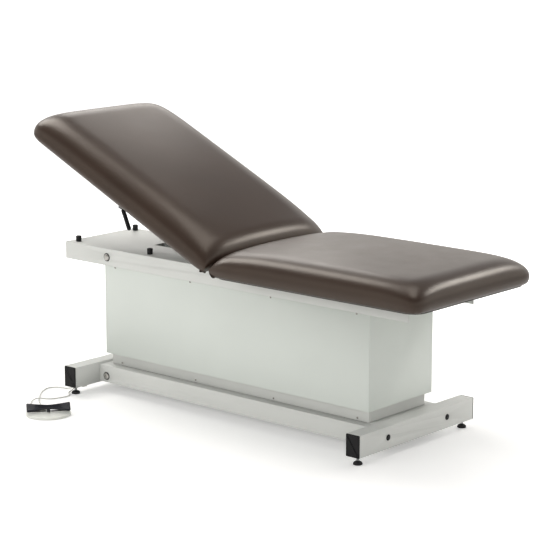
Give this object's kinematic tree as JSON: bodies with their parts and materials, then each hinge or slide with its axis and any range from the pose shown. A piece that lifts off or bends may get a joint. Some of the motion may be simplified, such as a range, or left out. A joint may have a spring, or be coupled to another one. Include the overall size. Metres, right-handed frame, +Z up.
{
  "type": "height-adjustable examination couch",
  "caption": "Padded examination couch with a tilting backrest, on a boxed scissor lift over a levelled base, worked by a loose foot pedal.",
  "frame": {"origin": "on the floor under the middle of the whole object, the foot control included and its two leads left out", "axes": "+X towards the foot end along the long side, +Y towards the rear long side, away from the foot control, +Z up"},
  "size_m": [1.8482, 0.9996, 1.0602],
  "materials": {
    "frame_paint": "satin",
    "shroud_paint": "satin",
    "upholstery": "satin",
    "black_plastic": "satin",
    "black_rubber": "matte",
    "bright_steel": "polished",
    "zinc_plated_steel": "satin",
    "board": "matte",
    "white_plastic": "satin",
    "dark_pedal_plastic": "satin",
    "nylon": "satin",
    "black_painted_steel": "satin"
  },
  "bodies": {
    "base": {"cross_leg_head": "frame_paint", "cross_leg_foot": "frame_paint", "leg_cap_head_front": "black_plastic", "leg_cap_head_rear": "black_plastic", "leg_cap_foot_front": "black_plastic", "leg_cap_foot_rear": "black_plastic", "leg_plug_front": "black_plastic", "leg_plug_rear": "black_plastic", "base_rail_front": "frame_paint", "base_rail_rear": "frame_paint", "mains_inlet": "black_plastic", "base_pan": "frame_paint", "plinth_skirt": "frame_paint", "control_box": "black_plastic", "lower_pivot_shaft": "bright_steel", "lead_gland": "white_plastic", "pedal_housing": "white_plastic", "pedal_lead_up": "white_plastic", "pedal_lead_down": "white_plastic"},
    "pedal_rocker": {"pedal_rocker": "dark_pedal_plastic"},
    "scissor_a": {"scissor_arm_a_front": "zinc_plated_steel", "scissor_arm_a_rear": "zinc_plated_steel", "scissor_tube_a": "zinc_plated_steel", "scissor_pin_front": "bright_steel", "scissor_pin_rear": "bright_steel"},
    "scissor_b": {"scissor_arm_b_front": "zinc_plated_steel", "scissor_arm_b_rear": "zinc_plated_steel", "scissor_tube_b": "zinc_plated_steel"},
    "upper_roller_front": {"upper_roller_front": "nylon"},
    "upper_roller_rear": {"upper_roller_rear": "nylon"},
    "lower_roller_front": {"lower_roller_front": "nylon"},
    "lower_roller_rear": {"lower_roller_rear": "nylon"},
    "actuator": {"actuator_tube": "zinc_plated_steel", "actuator_motor": "black_plastic"},
    "actuator_rod": {"actuator_rod": "bright_steel"},
    "top": {"top_frame": "frame_paint", "upper_track_front": "frame_paint", "upper_track_rear": "frame_paint", "upper_pivot_shaft": "bright_steel", "outer_shroud": "shroud_paint", "bumper_head_front": "black_rubber", "bumper_head_rear": "black_rubber", "bumper_mid_front": "black_rubber", "bumper_mid_rear": "black_rubber", "seat_board": "board", "seat_cushion": "upholstery", "hinge_bracket": "zinc_plated_steel", "hinge_pin": "bright_steel"},
    "backrest": {"backrest_board": "board", "backrest_cushion": "upholstery", "hinge_leaf": "zinc_plated_steel", "backrest_bracket": "frame_paint", "lever_bracket": "zinc_plated_steel"},
    "gas_cylinder": {"gas_cylinder": "black_painted_steel"},
    "gas_rod": {"gas_rod": "bright_steel"},
    "release_lever": {"release_lever": "black_plastic"},
    "levelling_foot_head_front": {"levelling_foot_head_front": "black_rubber"},
    "levelling_foot_head_rear": {"levelling_foot_head_rear": "black_rubber"},
    "levelling_foot_foot_front": {"levelling_foot_foot_front": "black_rubber"},
    "levelling_foot_foot_rear": {"levelling_foot_foot_rear": "black_rubber"}
  },
  "joints": [
    {"name": "foot_height_head_front", "type": "slide", "parent": "base", "child": "levelling_foot_head_front", "axis": [0, 0, 1], "range_m": [-0.012, 0]},
    {"name": "foot_height_head_rear", "type": "slide", "parent": "base", "child": "levelling_foot_head_rear", "axis": [0, 0, 1], "range_m": [-0.012, 0]},
    {"name": "foot_height_foot_front", "type": "slide", "parent": "base", "child": "levelling_foot_foot_front", "axis": [0, 0, 1], "range_m": [-0.012, 0]},
    {"name": "foot_height_foot_rear", "type": "slide", "parent": "base", "child": "levelling_foot_foot_rear", "axis": [0, 0, 1], "range_m": [-0.012, 0]},
    {"name": "lift", "type": "hinge", "parent": "base", "child": "scissor_a", "pos_m": [-0.66893, 0.15678, 0.061], "axis": [0, -1, 0], "range_deg": [-1.78, 14.28]},
    {"name": "lift_cross", "type": "hinge", "parent": "scissor_a", "child": "scissor_b", "pos_m": [-0.06213, 0.15678, 0.294], "axis": [0, -1, 0], "range_deg": [-29.06, 4.06]},
    {"name": "lift_top", "type": "hinge", "parent": "scissor_b", "child": "top", "pos_m": [-0.66893, 0.15678, 0.527], "axis": [0, -1, 0], "range_deg": [-2.28, 14.78]},
    {"name": "upper_roller_front_spin", "type": "hinge", "parent": "scissor_a", "child": "upper_roller_front", "pos_m": [0.54468, 0.02278, 0.527], "axis": [0, -1, 0], "range_deg": [-440.97, 57.59]},
    {"name": "lower_roller_front_spin", "type": "hinge", "parent": "scissor_b", "child": "lower_roller_front", "pos_m": [0.54468, 0.03678, 0.061], "axis": [0, -1, 0], "range_deg": [-57.59, 440.97]},
    {"name": "upper_roller_rear_spin", "type": "hinge", "parent": "scissor_a", "child": "upper_roller_rear", "pos_m": [0.54468, 0.29078, 0.527], "axis": [0, -1, 0], "range_deg": [-440.97, 57.59]},
    {"name": "lower_roller_rear_spin", "type": "hinge", "parent": "scissor_b", "child": "lower_roller_rear", "pos_m": [0.54468, 0.27678, 0.061], "axis": [0, -1, 0], "range_deg": [-57.59, 440.97]},
    {"name": "actuator_swing", "type": "hinge", "parent": "base", "child": "actuator", "pos_m": [0.43907, 0.15678, 0.072], "axis": [0, -1, 0], "range_deg": [-9.28, 1.59]},
    {"name": "actuator_rod_swing", "type": "hinge", "parent": "scissor_a", "child": "actuator_rod", "pos_m": [-0.16915, 0.15678, 0.21006], "axis": [0, -1, 0], "range_deg": [-23.56, 3.37]},
    {"name": "backrest_tilt", "type": "hinge", "parent": "top", "child": "backrest", "pos_m": [-0.01093, 0.15678, 0.582], "axis": [0, 1, 0], "range_deg": [-22.5, 45.1]},
    {"name": "gas_cylinder_swing", "type": "hinge", "parent": "top", "child": "gas_cylinder", "pos_m": [-0.60293, 0.17378, 0.53], "axis": [0, -1, 0], "range_deg": [-8.09, 15.7]},
    {"name": "gas_rod_swing", "type": "hinge", "parent": "backrest", "child": "gas_rod", "pos_m": [-0.17581, 0.17378, 0.55931], "axis": [0, -1, 0], "range_deg": [-30.59, 60.8]},
    {"name": "release_lever_pull", "type": "hinge", "parent": "backrest", "child": "release_lever", "pos_m": [-0.46802, -0.14322, 0.7611], "axis": [0, -1, 0], "range_deg": [0, 14], "stiffness_Nm_per_rad": 0.6, "springref_deg": -11.46},
    {"name": "pedal_rock", "type": "hinge", "parent": "base", "child": "pedal_rocker", "pos_m": [-0.58893, -0.42122, 0.0185], "axis": [-0.766, 0.6428, 0], "range_deg": [-4, 4], "stiffness_Nm_per_rad": 4}
  ],
  "couplings": [
    {"joint": "lift_cross", "follows": "lift", "ratio": -2},
    {"joint": "lift_top", "follows": "lift", "ratio": 1},
    {"joint": "upper_roller_front_spin", "follows": "lift", "ratio": -30.67},
    {"joint": "lower_roller_front_spin", "follows": "lift", "ratio": 30.67},
    {"joint": "upper_roller_rear_spin", "follows": "lift", "ratio": -30.67},
    {"joint": "lower_roller_rear_spin", "follows": "lift", "ratio": 30.67},
    {"joint": "actuator_swing", "follows": "lift", "ratio": -0.6147},
    {"joint": "actuator_rod_swing", "follows": "lift", "ratio": -1.6147},
    {"joint": "gas_cylinder_swing", "follows": "backrest_tilt", "ratio": 0.3371},
    {"joint": "gas_rod_swing", "follows": "backrest_tilt", "ratio": 1.3371}
  ]
}
